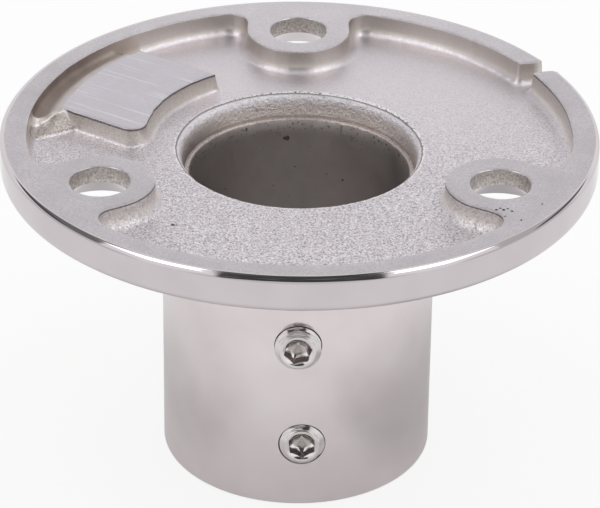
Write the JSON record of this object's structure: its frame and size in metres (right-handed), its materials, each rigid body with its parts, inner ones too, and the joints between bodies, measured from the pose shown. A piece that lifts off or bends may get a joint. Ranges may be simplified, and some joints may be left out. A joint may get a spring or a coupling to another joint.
{
  "type": "handrail base bracket",
  "caption": "Round cast stainless flange with a plain tube socket, countersunk bolt holes, a recessed mounting face and socket set screws in the side.",
  "frame": {"origin": "centre of the socket's mouth, on which the bracket stands", "axes": "+Z along the socket and out of the mounting face; the set screws face -Y"},
  "size_m": [0.0762, 0.0762, 0.0456],
  "materials": {
    "cast_stainless": "polished socket and rim side, ground mounting face, sand-like cast recess",
    "screw_stainless": "bright"
  },
  "bodies": {
    "bracket": {"bracket_casting": "cast_stainless"},
    "upper_screw": {"upper_set_screw": "screw_stainless"},
    "lower_screw": {"lower_set_screw": "screw_stainless"}
  },
  "joints": [
    {"name": "upper_screw_travel", "type": "slide", "parent": "bracket", "child": "upper_screw", "axis": [0, 1, 0], "range_m": [-0.0005, 0.0011]},
    {"name": "lower_screw_travel", "type": "slide", "parent": "bracket", "child": "lower_screw", "axis": [0, 1, 0], "range_m": [-0.0015, 0.0001]}
  ]
}
